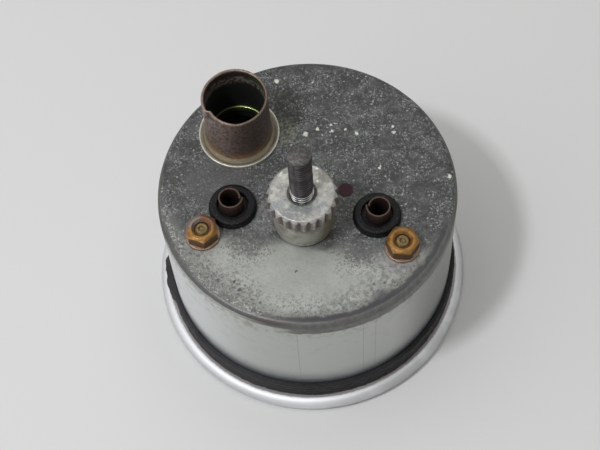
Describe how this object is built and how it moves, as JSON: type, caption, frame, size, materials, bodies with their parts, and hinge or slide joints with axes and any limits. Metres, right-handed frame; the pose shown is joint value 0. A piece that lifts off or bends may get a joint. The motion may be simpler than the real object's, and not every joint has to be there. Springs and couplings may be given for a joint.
{
  "type": "water temperature gauge",
  "caption": "Round electrical temperature gauge for a dashboard, with chrome bezel, rear clamp stud with thumb nut, lamp socket tube and two push-in terminals.",
  "frame": {"origin": "centre of the bezel's front, on the surface that the gauge lies on, face down", "axes": "+Z from the front of the bezel towards the back of the case, +Y towards 12 o'clock on the dial, +X towards the left of the dial as read from the front"},
  "size_m": [0.0579, 0.0578, 0.056],
  "materials": {
    "can_zinc": "zinc plated, weathered",
    "chrome_bezel": "bright chrome",
    "black_rubber": "matt, aged",
    "clear_glass": "clear, flat",
    "black_enamel": "matt black",
    "white_print": "matt off-white",
    "bright_steel": "plated",
    "brass": "tarnished",
    "washer_metal": "dull",
    "plate_metal": "plain",
    "soft_iron": "plain",
    "bobbin_resin": "moulded resin",
    "copper_wire": "enamelled copper wire",
    "terminal_bronze": "tarnished brown",
    "black_resin": "matt",
    "brown_fibre": "fibre board",
    "tinned_brass": "tinned",
    "tube_bronze": "tarnished brown",
    "dark_steel": "oiled, dark",
    "red_varnish": "sealing varnish",
    "pointer_white": "matt off-white",
    "nut_plate": "zinc plated, weathered"
  },
  "bodies": {
    "case": {"can": "can_zinc", "bezel": "chrome_bezel", "seal": "black_rubber", "glass_gasket": "black_rubber", "glass": "clear_glass", "inner_ring": "black_enamel", "dial": "black_enamel", "dial_marks": "white_print", "dial_screws": "bright_steel", "dial_posts": "brass", "stop_pins": "bright_steel", "movement_plate": "plate_metal", "front_bearing": "brass", "rear_cock": "plate_metal", "cock_screws": "bright_steel", "rear_bearing": "brass", "yoke": "soft_iron", "yoke_rivets": "bright_steel", "coil_cores": "soft_iron", "coil_bobbins": "bobbin_resin", "coil_windings": "copper_wire", "coil_leads": "copper_wire", "pillars": "brass", "nut_washers": "washer_metal", "hex_nuts": "brass", "terminal_tubes": "terminal_bronze", "outer_insulators": "black_resin", "inner_insulators": "brown_fibre", "solder_tags": "tinned_brass", "lamp_flange": "can_zinc", "lamp_tube": "tube_bronze", "lamp_contact_ring": "brass", "clamp_stud": "dark_steel", "varnish_dot": "red_varnish"},
    "pointer_and_spindle": {"spindle": "bright_steel", "armature": "soft_iron", "pointer": "pointer_white", "pointer_hub": "black_resin", "balance_arm": "brass"},
    "collar": {"nut_collar": "nut_plate"},
    "nut": {"thumb_nut": "nut_plate"}
  },
  "joints": [
    {"name": "pointer_swing", "type": "hinge", "parent": "case", "child": "pointer_and_spindle", "pos_m": [0, -0.006, 0.006], "axis": [0, 0, 1], "range_deg": [0, 90]},
    {"name": "nut_travel", "type": "slide", "parent": "case", "child": "collar", "axis": [0, 0, 1], "range_m": [0, 0.0119]},
    {"name": "nut_turn", "type": "hinge", "parent": "collar", "child": "nut", "pos_m": [0, -0.0063, 0.0417], "axis": [0, 0, 1], "range_deg": [0, 6120]}
  ],
  "couplings": [
    {"joint": "nut_turn", "follows": "nut_travel", "rad_per_m": 8976}
  ]
}
